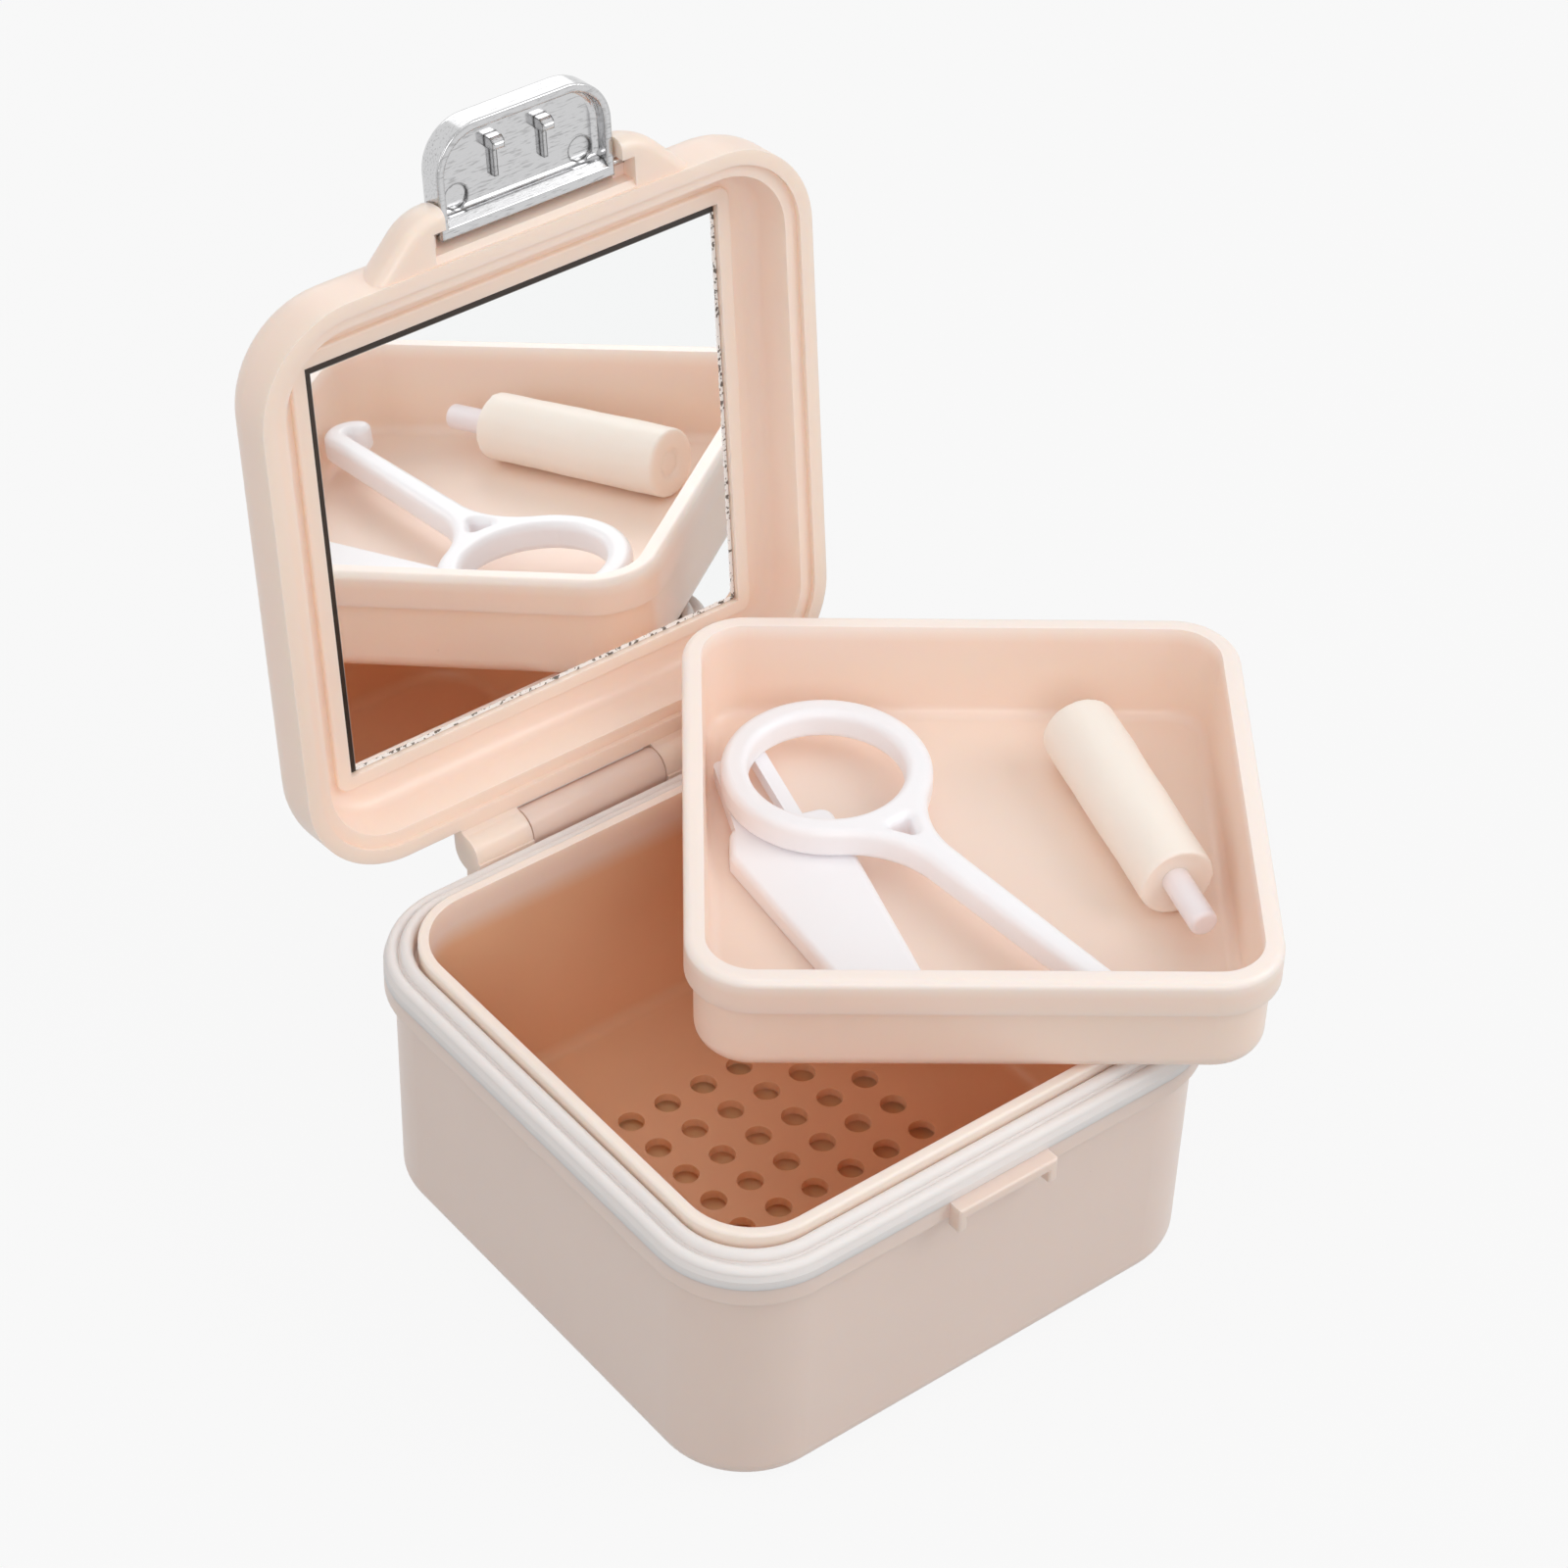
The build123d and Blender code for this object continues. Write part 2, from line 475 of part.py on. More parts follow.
def lid_shell():
    """Lid: crowned shell with a ledge over the seal, a mirror frame, knuckles and the tab."""
    outer = dome(RIM_HX, RIM_HY, RIM_CORNER, LID_Z, TOP_Z, 0)
    outer = fillet(top_edges(outer), LID_CROWN)
    seal_room = slab(RIM_HX - LIP_FLAT, RIM_HY - LIP_FLAT, RIM_CORNER - LIP_FLAT,
                     LID_Z - PAST, LEDGE_Z)
    hollow = dome(MOUTH_HX, MOUTH_HY, RIM_CORNER - LIP_FLAT - LEDGE_W,
                  LEDGE_Z, MIRROR_Z, LID_LEAN)
    hollow = fillet(top_edges(hollow), LID_FOOT_ROUND)
    frame = slab(MIRROR_HX + FRAME_W, MIRROR_HY + FRAME_W, FRAME_CORNER,
                 MIRROR_Z - FRAME_H, MIRROR_Z + ROOT)
    frame = fillet(bottom_edges(frame), FRAME_H * 0.4)
    pocket_x = MIRROR_HX + MIRROR_FIT
    pocket_y = MIRROR_HY + MIRROR_FIT
    pocket = block(-pocket_x, pocket_x, -pocket_y, pocket_y, MIRROR_Z - FRAME_H - PAST,
                   MIRROR_Z + MIRROR_THICK + PAD_THICK)
    reach = HINGE_HALF - HINGE_PIN_IN + LAY
    bore = rod(HINGE_PIN_R + PIN_RUNNING, -reach, reach, HINGE_Y, HINGE_Z)
    shell = outer + front_tab() + lid_knuckles() + stop_heels() + barrel_cove()
    shell = shell - seal_room - hollow + frame - pocket - bore
    return open_lid(shell)


def mirror_glass():
    """Rectangular mirror, let into the lid with its face level with the lid's inner floor."""
    return open_lid(block(-MIRROR_HX, MIRROR_HX, -MIRROR_HY, MIRROR_HY,
                          MIRROR_Z, MIRROR_Z + MIRROR_THICK))


def mirror_pad():
    """Thin foam adhesive pad between the mirror and the lid."""
    half_x = MIRROR_HX - PAD_INSET
    half_y = MIRROR_HY - PAD_INSET
    back = MIRROR_Z + MIRROR_THICK
    return open_lid(block(-half_x, half_x, -half_y, half_y, back, back + PAD_THICK))


def clasp_hook(x):
    """Post inside the clasp that slips under the catch bar, with the rib below it."""
    low = CLASP_FLOOR - CLASP_SKIN - LAY
    post = prism_x([(HOOK_A, low), (HOOK_A, HOOK_TIP), (HOOK_A + HOOK_T * 0.6, HOOK_TIP),
                    (HOOK_A + HOOK_T, HOOK_TIP - HOOK_T * 0.6), (HOOK_A + HOOK_T, low)],
                   x - HOOK_W / 2, x + HOOK_W / 2)
    post = fillet(post.edges().group_by(Axis.Z)[-1], HOOK_ROUND)
    rib = block(x - HOOK_W / 6, x + HOOK_W / 6, HOOK_A - RIB_LENGTH, HOOK_A + HOOK_GAP,
                low, low + RIB_H)
    return post + rib


def clasp_body():
    """Clasp drawn with its axis on X, its length along +Y and its hollow side up."""
    half = CLASP_HALF
    middle = (CLASP_LENGTH - CLASP_BACK) / 2
    plan = Pos(0, middle) * Rectangle(2 * half, CLASP_LENGTH + CLASP_BACK)
    plan = fillet(plan.vertices().group_by(Axis.Y)[-1], CLASP_CORNER)
    shell = extrude(Plane.XY.offset(-CLASP_SKIN) * plan, CLASP_SKIN + CLASP_RIM, dir=(0, 0, 1))
    shell = fillet(bottom_edges(shell), CLASP_ROUND)
    far = CLASP_LENGTH - CLASP_END_WALL
    room = Pos(0, (CLASP_ROOT_IN + far) / 2) * Rectangle(2 * (half - CLASP_WALL),
                                                         far - CLASP_ROOT_IN)
    room = fillet(room.vertices().group_by(Axis.Y)[-1], CLASP_CORNER - CLASP_END_WALL)
    floor = CLASP_FLOOR - CLASP_SKIN
    hollow = extrude(Plane.XY.offset(floor) * room, CLASP_RIM + PAST - floor, dir=(0, 0, 1))
    shell -= fillet(bottom_edges(hollow), CLASP_FOOT_ROUND)
    root_edge = top_edges(shell).filter_by(Axis.X).sort_by(Axis.Y)[1]
    shell = chamfer(root_edge, CLASP_ROOT_IN - CLASP_WALL / 4)
    return fillet(top_edges(shell), CLASP_WALL / 4)


def clasp_cover():
    """Plated clasp, standing straight out from the open lid's edge."""
    clasp = clasp_body()
    for side in (-1, 1):
        clasp += clasp_hook(side * HOOK_X)
        dimple = Pos(side * DIMPLE_X, DIMPLE_Y, CLASP_FLOOR - CLASP_SKIN)
        clasp -= dimple * Cylinder(DIMPLE_DIA / 2, DIMPLE_DEEP)
    reach = CLASP_HALF + PAST
    clasp -= rod(CLASP_PIN_R + PIN_RUNNING, -reach, reach, 0, 0)
    return open_lid(Pos(0, CLASP_Y, CLASP_Z) * Rot(180, 0, 0) * clasp)


def clasp_pin():
    """Steel pin that the clasp turns on, held at each end in the tab."""
    reach = SLOT_HALF + CLASP_PIN_IN - LAY
    return open_lid(rod(CLASP_PIN_R, -reach, reach, CLASP_Y, CLASP_Z))


def tool_tray():
    """Square tray with a raised lip all round, lying askew across the open case."""
    lip = slab(TRAY_HX, TRAY_HY, TRAY_CORNER, TRAY_HEIGHT - TRAY_LIP_H, TRAY_HEIGHT)
    lip = fillet(top_edges(lip), TRAY_LIP_W * 0.4)
    body = slab(TRAY_HX - TRAY_LIP_OUT, TRAY_HY - TRAY_LIP_OUT, TRAY_CORNER - TRAY_LIP_OUT,
                0, TRAY_HEIGHT - TRAY_LIP_H + ROOT, WALL_DRAFT)
    body = fillet(bottom_edges(body), TRAY_ROUND)
    lean = degrees(atan2(TRAY_LEAN, TRAY_HEIGHT - TRAY_FLOOR))
    inside = slab(TRAY_IN_HX, TRAY_IN_HY, TRAY_CORNER - TRAY_LIP_W, TRAY_FLOOR,
                  TRAY_HEIGHT, lean)
    inside = fillet(bottom_edges(inside), TRAY_INNER_ROUND)
    return in_tray(lip + body - inside)


def along(distance, sideways=0.0):
    """Point on the ring tool's stem line, counted from the ring's centre, and off to its left."""
    return (RING_X + distance * cos(STEM_TURN) + sideways * sin(STEM_TURN),
            RING_Y - distance * sin(STEM_TURN) + sideways * cos(STEM_TURN))


def ring_plan():
    """Plan of the ring tool: finger ring, flared junction with its small hole, stem and hook."""
    ring = Pos(RING_X, RING_Y) * Circle(RING_R)
    stem = make_face(Polyline(along(0, -STEM_W0 / 2), along(STEM_END, -STEM_W1 / 2),
                              along(STEM_END, STEM_W1 / 2), along(0, STEM_W0 / 2), close=True))
    body = ring + stem
    joint = Vector(*along(RING_R))
    corners = body.vertices().sort_by(lambda v: (Vector(v.X, v.Y) - joint).length)[:2]
    body = fillet(corners, STEM_FLARE)
    bend = CenterArc(along(STEM_END, HOOK_BEND), HOOK_BEND, STEM_ANGLE - 90, HOOK_SWEEP)
    hook = trace(bend, line_width=STEM_W1) + Pos(*(bend @ 1)) * Circle(STEM_W1 / 2)
    hole = make_face(Polyline(along(RING_R, -EYE_W / 2), along(RING_R + EYE_L),
                              along(RING_R, EYE_W / 2), close=True))
    hole = fillet(hole.vertices(), EYE_ROUND)
    return body + hook - Pos(RING_X, RING_Y) * Circle(RING_HOLE_R) - hole


def ring_tool():
    """Removing tool with a finger ring, lying on the flat tool."""
    tool = extrude(Plane.XY.offset(RING_Z) * ring_plan(), RING_THICK, dir=(0, 0, 1))
    tool = fillet(top_edges(tool), RING_ROUND)
    return in_tray(fillet(bottom_edges(tool), RING_ROUND))


def prong(x, y, angle, length):
    """Straight prong of the flat tool, from its root to its rounded tip."""
    plan = Pos(x, y) * Rot(0, 0, angle) * Pos(length / 2, 0) * SlotOverall(length, PRONG_W)
    return extrude(Plane.XY.offset(FLAT_Z + PRONG_UP) * plan, PRONG_THICK, dir=(0, 0, 1))


def flat_tool():
    """Flat removing tool: a tapering plate with two prongs, lying on the tray's floor."""
    end_x = FLAT_X + FLAT_END_SHIFT
    end_y = FLAT_END_GAP - TRAY_IN_HY
    plan = make_face(Polyline((FLAT_X, FLAT_Y), (FLAT_X + FLAT_ROOT_W, FLAT_Y + FLAT_ROOT_RISE),
                              (end_x + FLAT_END_W, end_y), (end_x, end_y),
                              (FLAT_X, FLAT_Y - FLAT_HEEL), close=True))
    plan = fillet(plan.vertices(), FLAT_THICK * 0.7)
    plate = extrude(Plane.XY.offset(FLAT_Z) * plan, FLAT_THICK, dir=(0, 0, 1))
    tool = fillet(top_edges(plate), FLAT_ROUND)
    tool += prong(FLAT_X + PRONG_LEFT_IN, FLAT_Y - PRONG_SINK, PRONG_LEFT_ANGLE,
                  PRONG_LEFT_LENGTH)
    tool += prong(FLAT_X + PRONG_RIGHT_IN, FLAT_Y + PRONG_RIGHT_RISE, PRONG_RIGHT_ANGLE,
                  PRONG_RIGHT_LENGTH)
    return in_tray(tool)


def on_roll(part):
    """Lays a piece drawn along +X from the roll's far end onto the tray's floor."""
    return in_tray(Pos(ROLL_X, ROLL_Y, ROLL_Z) * Rot(0, 0, ROLL_ANGLE) * part)


def chewie_roll():
    """Soft chewing roll: a plump tube, open at the end where its stick goes in."""
    roll = rod(ROLL_R, 0, ROLL_LENGTH, 0, 0)
    roll = fillet(roll.edges().filter_by(GeomType.CIRCLE), ROLL_ROUND)
    past = ROLL_LENGTH + PAST
    roll -= rod(ROLL_MOUTH_R, ROLL_LENGTH - ROLL_MOUTH_DEPTH, past, 0, 0)
    roll -= rod(STICK_R + STICK_FIT, ROLL_LENGTH - STICK_IN - LAY, past, 0, 0)
    return on_roll(roll)


def chewie_stick():
    """Round stick that the chewing roll is held by."""
    stick = rod(STICK_R, ROLL_LENGTH - STICK_IN, ROLL_LENGTH + STICK_OUT, 0, 0)
    return on_roll(fillet(stick.edges().filter_by(GeomType.CIRCLE), STICK_ROUND))


NODES = (base_shell, strainer_basket, rim_seal, hinge_pin, lid_shell, mirror_glass, mirror_pad,
         clasp_cover, clasp_pin, tool_tray, ring_tool, flat_tool, chewie_roll, chewie_stick)

os.makedirs("parts", exist_ok=True)
for make in NODES:
    export_step(make(), "parts/" + make.__name__ + ".step")
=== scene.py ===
"""Retainer case with an accessory tray: finishes, softer pieces, light and camera around its CAD frame."""

import math

import bpy
from bpy.props import FloatProperty, FloatVectorProperty, PointerProperty
from mathutils import Matrix, Vector


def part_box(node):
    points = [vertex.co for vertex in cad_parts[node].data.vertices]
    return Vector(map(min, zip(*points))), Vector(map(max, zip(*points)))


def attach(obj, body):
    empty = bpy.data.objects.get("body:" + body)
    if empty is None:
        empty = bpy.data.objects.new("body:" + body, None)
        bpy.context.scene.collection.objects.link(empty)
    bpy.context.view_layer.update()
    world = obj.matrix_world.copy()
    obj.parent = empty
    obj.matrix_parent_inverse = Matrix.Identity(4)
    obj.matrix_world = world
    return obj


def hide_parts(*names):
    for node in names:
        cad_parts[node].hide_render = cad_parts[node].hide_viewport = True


bl_info = {
    "name": "Retainer Case",
    "version": (1, 0, 0),
    "blender": (4, 5, 0),
    "location": "View3D > Sidebar > Retainer Case",
    "description": "Finishes and lights a retainer case with mirror lid, clasp, tray and tools",
    "category": "Add Mesh",
}

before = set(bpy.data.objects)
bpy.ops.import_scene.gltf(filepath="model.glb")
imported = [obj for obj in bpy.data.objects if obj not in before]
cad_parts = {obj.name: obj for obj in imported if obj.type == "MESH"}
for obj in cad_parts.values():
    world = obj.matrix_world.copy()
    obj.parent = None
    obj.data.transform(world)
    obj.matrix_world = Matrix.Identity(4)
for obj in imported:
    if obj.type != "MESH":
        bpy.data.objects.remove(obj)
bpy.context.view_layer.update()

MM = 0.001

# Moulded polypropylene
BASKET_PAINTED_LIGHT_LIP = (37 * MM, 41 * MM)      # between these heights the basket's tone turns to the lighter tone of its lip, painted light where light falls on the top edge
TRAY_PAINTED_LIGHT_LIP = (60.6 * MM, 62.6 * MM)    # the same painted light on the tray's lip
WELL_HALF = 40 * MM         # painted bounce light: the base's inside, near its floor, takes on the basket's orange tone in here
WELL_FROM = 2 * MM
WELL_TO = 12 * MM
GLOW = 0.4                  # how much of the plastic's light comes from below its skin
GLOW_DEPTH = 4 * MM
GLOW_SPREAD = (1.0, 0.7, 0.5)        # red light travels furthest in it
CLOUD_SIZE = 25 * MM        # patches where the tone is up to a twentieth darker
SCRATCH_LENGTH = 40 * MM    # faint scratches on the base's outside
SCRATCH_WIDTH = 1.1 * MM    # drawn wider than real ones, which wouldn't show

# Silicone, ABS and foam
DUST_SIZE = 0.6 * MM        # drawn coarser than real dust, which wouldn't show
FLOW_MARK = 3 * MM
FOAM_CELL = 0.8 * MM        # drawn coarser than real cells, which wouldn't show
FOAM = "#d8d4cf"

# Chrome plate
DRAG_LENGTH = 2 * MM        # polish marks
DRAG_WIDTH = 0.3 * MM       # drawn wider than real ones, which wouldn't show
# width of the painted reflection: the plate is drawn dark near each edge, as if its edges mirrored dark
# surroundings
PAINTED_REFLECTION_EDGE = 0.6 * MM
PLATE = "#d2d2d3"
# grey of the polish marks, and of the painted dark reflection along the edges
POLISH_MARK_AND_PAINTED_REFLECTION = "#33302e"

# Mirror
LEAN = math.radians(6.2)    # how far the open lid leans back
MIRROR_MIDDLE = 96.87 * MM  # the mirror's middle, measured up along the open lid
MIRROR_SIZE = (34.9 * MM, 33.6 * MM)    # half its width and half its height
PAINTED_SHADE_LEFT = 1.25 * MM       # widths of the painted shade along the left and upper edges, where the glass meets the frame
PAINTED_SHADE_TOP = 1.5 * MM
GROUND_EDGE = 0.95 * MM     # width of the ground edges
CHIP_SIZE = 0.7 * MM
CHIP_DEPTH = 0.5 * MM       # how far chips eat into the ground edges
SILVER = "#fbfcfc"
# painted shade of the gap where the glass meets the frame, on the upper and left edges
PAINTED_SHADE_GAP = "#2a221c"
GROUND_GLASS = "#f4f4f2"
GROUND_SPECK = "#6a655f"

# Chewing roll
ROLL_TURN = math.radians(-107.84)    # direction in which it lies
ROLL_LENGTH = 36.5 * MM
ROLL_RADIUS = 5.65 * MM
FLARE_LENGTH = 5 * MM       # the far end widens over this length
FLARE = 1.025
FAR_RIM = 3.2 * MM          # flat round the small ring that is pressed into the far end
FAR_RING = 0.5 * MM         # width of that ring
FAR_DIP = 0.9 * MM
FAR_RISE = 0.6 * MM
NEAR_RIM = 1.6 * MM         # flat round the dish in the near end
NEAR_DIP = 0.7 * MM
NEAR_RING = 1.2 * MM
NEAR_DEEPER = 0.3 * MM
ROLL_EDGE = 0.9 * MM        # rounding of its ends
ROLL_MESH = 0.4 * MM
DENT_SIZE = 9 * MM
DENT_DEPTH = 0.3 * MM

# Stage
BACKDROP = 0.94             # how bright the pale backdrop looks
PAPER_GREY = 0.42           # how much light the paper floor gives back to the object
PAPER_GLOW = 0.9            # how much of the floor that a camera sees is plain white
FLOOR_SIZE = 4.0
AIM = (0.0, 0.0, 60 * MM)   # all the lamps point here
LAMPS = {                   # place and size of each lamp, in metres
    "top": ((0.0, 0.05, 0.9), 0.7),
    "key": ((0.5, -0.45, 0.6), 0.5),
    "front": ((-0.4, -0.75, 0.6), 0.5),
    "side": ((-0.85, 0.3, 0.5), 0.5),
    "back": ((0.35, 0.85, 0.45), 0.6),
}
CAMERA_PLACE = (-299.452 * MM, -362.129 * MM, 476.754 * MM)
SENSOR_WIDTH = 36.0         # in millimetres
BOUNCES = 10                # light bounces often enough to warm the inside of the case


def linear(hex_colour):
    """Turns an sRGB hex colour into the linear values that Blender works with."""
    channels = [int(hex_colour[i:i + 2], 16) / 255 for i in (1, 3, 5)]
    return tuple(c / 12.92 if c <= 0.04045 else ((c + 0.055) / 1.055) ** 2.4 for c in channels)


def colour_property(name, hex_colour, description):
    """A colour that a user can change in the panel."""
    return FloatVectorProperty(name=name, description=description, subtype="COLOR", size=3,
                               min=0.0, max=1.0, default=linear(hex_colour))


class MouldedPlastic(bpy.types.PropertyGroup):
    """Colours and gloss of the case's moulded polypropylene."""
    # painted shade: the same plastic as the lid, drawn darker and a little greyer, as the base's lower
    # sides get less light
    base_painted_shade_colour: colour_property("Base", "#edd6ca", "Outside of the base shell")
    # painted bounce light: the basket's orange glow drawn on the base's own plastic
    painted_bounce_colour: colour_property("Well", "#ffd9a8", "Bottom of the base shell's inside, under the basket")
    basket_colour: colour_property("Basket", "#f5caa6", "Strainer basket inside the base")
    # painted light: the basket's top edge drawn lighter, where light falls on it
    basket_painted_light_lip_colour: colour_property("Basket Lip", "#fae8dc", "Basket's lip, above the seal")
    lid_colour: colour_property("Lid", "#fce5d6", "Lid shell")
    tray_colour: colour_property("Tray", "#f8e1d3", "Accessory tray")
    # painted light: the top of the tray's lip drawn lighter, where light falls on it
    tray_painted_light_lip_colour: colour_property("Tray Lip", "#faeae2", "Top of the tray's lip")
    roughness: FloatProperty(name="Roughness", description="Gloss of the moulded skin",
                             default=0.3, min=0.05, max=1.0, subtype="FACTOR")
    peel_size: FloatProperty(name="Skin Ripple", description="Width of the ripples in the skin",
                             default=2.5 * MM, unit="LENGTH")


class WhiteTools(bpy.types.PropertyGroup):
    """Colours of the tools, the chewing roll and the rim seal."""
    tool_colour: colour_property("Tools", "#f7f6f9", "Ring tool and flat tool")
    stick_colour: colour_property("Stick", "#f3ecee", "Stick in the chewing roll")
    roll_colour: colour_property("Roll", "#f6ece2", "Soft chewing roll")
    seal_colour: colour_property("Seal", "#ebe5e2", "Silicone seal on the rim")


class StudioSettings(bpy.types.PropertyGroup):
    """Camera, lamps and floor."""
    azimuth: FloatProperty(name="Azimuth", description="Camera's turn about the upright axis",
                           default=math.radians(-39.302), subtype="ANGLE")
    elevation: FloatProperty(name="Elevation", description="Camera's height angle",
                             default=math.radians(40.278), subtype="ANGLE")
    roll: FloatProperty(name="Roll", description="Camera's tilt about its own line of sight",
                        default=math.radians(2.026), subtype="ANGLE")
    lens: FloatProperty(name="Lens", description="Focal length on a 36 mm sensor, in millimetres",
                        default=103.6)
    world_level: FloatProperty(name="Surround", description="Light from the white surround",
                               default=0.58, min=0.0)
    key_power: FloatProperty(name="Key Lamp", default=2.3, min=0.0,
                             description="Power of the soft lamp at the front right, in watts")
    top_power: FloatProperty(name="Top Lamp", default=0.6, min=0.0,
                             description="Power of the soft lamp overhead, in watts")
    front_power: FloatProperty(name="Front Lamp", default=2.0, min=0.0,
                               description="Power of the soft lamp at the front left, in watts")
    side_power: FloatProperty(name="Side Lamp", default=1.1, min=0.0,
                              description="Power of the soft lamp at the left, in watts")
    back_power: FloatProperty(name="Back Lamp", default=0.9, min=0.0,
                              description="Power of the soft lamp behind, in watts")


# Materials

def add_node(material, kind, inputs=None, **settings):
    """Adds a node to a material or the world, applies its settings, and gives each named input
    a value or another node's output."""
    tree = material.node_tree
    node = tree.nodes.new(kind)
    for name, value in settings.items():
        setattr(node, name, value)
    for name, value in (inputs or {}).items():
        if isinstance(value, bpy.types.NodeSocket):
            tree.links.new(value, node.inputs[name])
        else:
            node.inputs[name].default_value = value
    return node


def new_material(name):
    """Makes an empty material."""
    material = bpy.data.materials.new(name)
    material.use_nodes = True
    material.node_tree.nodes.clear()
    return material


def finish_material(material, shader):
    """Links the shader to the material's output."""
    add_node(material, "ShaderNodeOutputMaterial", {"Surface": shader.outputs[0]})
    return material


def dress(node, material):
    """Gives a CAD node's object its material."""
    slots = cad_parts[node].data.materials
    slots.clear()
    slots.append(material)


def edge_band(material, distance, width):
    """1 within the width of an edge, 0 beyond it, from the distance to that edge."""
    return add_node(material, "ShaderNodeMapRange", {
        "Value": distance, "From Min": width * 0.9, "From Max": width,
        "To Min": 1.0, "To Max": 0.0}).outputs[0]


def inside_box(material, place, half_width, low, high):
    """1 within a square box round the upright axis, between two heights, and 0 outside it."""
    size = add_node(material, "ShaderNodeVectorMath", {0: place}, operation="ABSOLUTE")
    sides = add_node(material, "ShaderNodeSeparateXYZ", {"Vector": size.outputs["Vector"]})
    widest = add_node(material, "ShaderNodeMath", {0: sides.outputs["X"], 1: sides.outputs["Y"]},
                      operation="MAXIMUM")
    within = edge_band(material, widest.outputs[0], half_width)
    below = edge_band(material, sides.outputs["Z"], high)
    above = add_node(material, "ShaderNodeMath", {0: sides.outputs["Z"], 1: low},
                     operation="GREATER_THAN")
    flat = add_node(material, "ShaderNodeMath", {0: within, 1: below}, operation="MULTIPLY")
    return add_node(material, "ShaderNodeMath", {0: flat.outputs[0], 1: above.outputs[0]},
                    operation="MULTIPLY").outputs[0]


def moulded_polypropylene(name, colour, roughness, ripple, scuffs=0.0, painted_light_lip_colour=None,
                         lip=BASKET_PAINTED_LIGHT_LIP, painted_bounce_colour=None):
    """Injection-moulded polypropylene: satin gloss, faint skin ripple, and light that glows through its
    walls. A lip can be drawn in a lighter tone (painted light) and a hollow's floor in a deeper one
    (painted bounce light), so that it looks deeper in colour inside a hollow than at a thin edge."""
    material = new_material(name)
    place = add_node(material, "ShaderNodeTexCoord").outputs["Object"]
    clouds = add_node(material, "ShaderNodeTexNoise", {
        "Vector": place, "Scale": 1 / CLOUD_SIZE, "Detail": 2.0})
    shade = tuple(c * 0.95 for c in colour)
    tint = add_node(material, "ShaderNodeMix", {
        0: clouds.outputs["Fac"], 6: (*shade, 1.0), 7: (*colour, 1.0)}, data_type="RGBA")
    # painted light: above the lip's lower height the tone turns lighter, where light falls on the top edge
    if painted_light_lip_colour is not None:
        height_up = add_node(material, "ShaderNodeSeparateXYZ", {"Vector": place})
        top = add_node(material, "ShaderNodeMapRange", {
            "Value": height_up.outputs["Z"], "From Min": lip[0], "From Max": lip[1]})
        tint = add_node(material, "ShaderNodeMix", {
            0: top.outputs[0], 6: tint.outputs[2], 7: (*painted_light_lip_colour, 1.0)}, data_type="RGBA")
    # painted bounce light: low inside the base, the tone turns to the basket's orange
    if painted_bounce_colour is not None:
        painted_bounce_mask = inside_box(material, place, WELL_HALF, WELL_FROM, WELL_TO)
        tint = add_node(material, "ShaderNodeMix", {
            0: painted_bounce_mask, 6: tint.outputs[2], 7: (*painted_bounce_colour, 1.0)}, data_type="RGBA")
    skin = add_node(material, "ShaderNodeTexNoise", {
        "Vector": place, "Scale": 1 / ripple, "Detail": 3.0, "Roughness": 0.45})
    gloss = add_node(material, "ShaderNodeMapRange", {
        "Value": skin.outputs["Fac"], "To Min": roughness - 0.05, "To Max": roughness + 0.06})
    height = skin.outputs["Fac"]
    if scuffs:
        stretched = add_node(material, "ShaderNodeMapping", {
            "Vector": place, "Rotation": (0.5, 0.3, 0.6),
            "Scale": (1 / SCRATCH_LENGTH, 1 / SCRATCH_WIDTH, 1 / SCRATCH_WIDTH)})
        lines = add_node(material, "ShaderNodeTexNoise", {
            "Vector": stretched.outputs["Vector"], "Scale": 1.0, "Detail": 1.0})
        rare = add_node(material, "ShaderNodeMapRange", {
            "Value": lines.outputs["Fac"], "From Min": 0.68, "From Max": 0.78})
        scratched = add_node(material, "ShaderNodeMath", {0: rare.outputs[0], 1: -scuffs, 2: height},
                             operation="MULTIPLY_ADD")
        height = scratched.outputs[0]
    bump = add_node(material, "ShaderNodeBump", {
        "Height": height, "Strength": 0.06, "Distance": 0.15 * MM})
    shader = add_node(material, "ShaderNodeBsdfPrincipled", {
        "Base Color": tint.outputs[2],
        "Roughness": gloss.outputs[0],
        "IOR": 1.49,
        "Subsurface Weight": GLOW,
        "Subsurface Radius": GLOW_SPREAD,
        "Subsurface Scale": GLOW_DEPTH,
        "Normal": bump.outputs["Normal"]})
    return finish_material(material, shader)


def translucent_silicone(name, colour):
    """Moulded silicone rubber: milky, soft highlight, dust-dulled skin."""
    material = new_material(name)
    place = add_node(material, "ShaderNodeTexCoord").outputs["Object"]
    grain = add_node(material, "ShaderNodeTexNoise", {
        "Vector": place, "Scale": 1 / DUST_SIZE, "Detail": 2.0})
    gloss = add_node(material, "ShaderNodeMapRange", {
        "Value": grain.outputs["Fac"], "To Min": 0.38, "To Max": 0.52})
    bump = add_node(material, "ShaderNodeBump", {
        "Height": grain.outputs["Fac"], "Strength": 0.05, "Distance": 0.1 * MM})
    shader = add_node(material, "ShaderNodeBsdfPrincipled", {
        "Base Color": (*colour, 1.0),
        "Roughness": gloss.outputs[0],
        "IOR": 1.41,
        "Subsurface Weight": 0.35,
        "Subsurface Radius": (1.0, 0.8, 0.7),
        "Subsurface Scale": 2.0 * MM,
        "Normal": bump.outputs["Normal"]})
    return finish_material(material, shader)


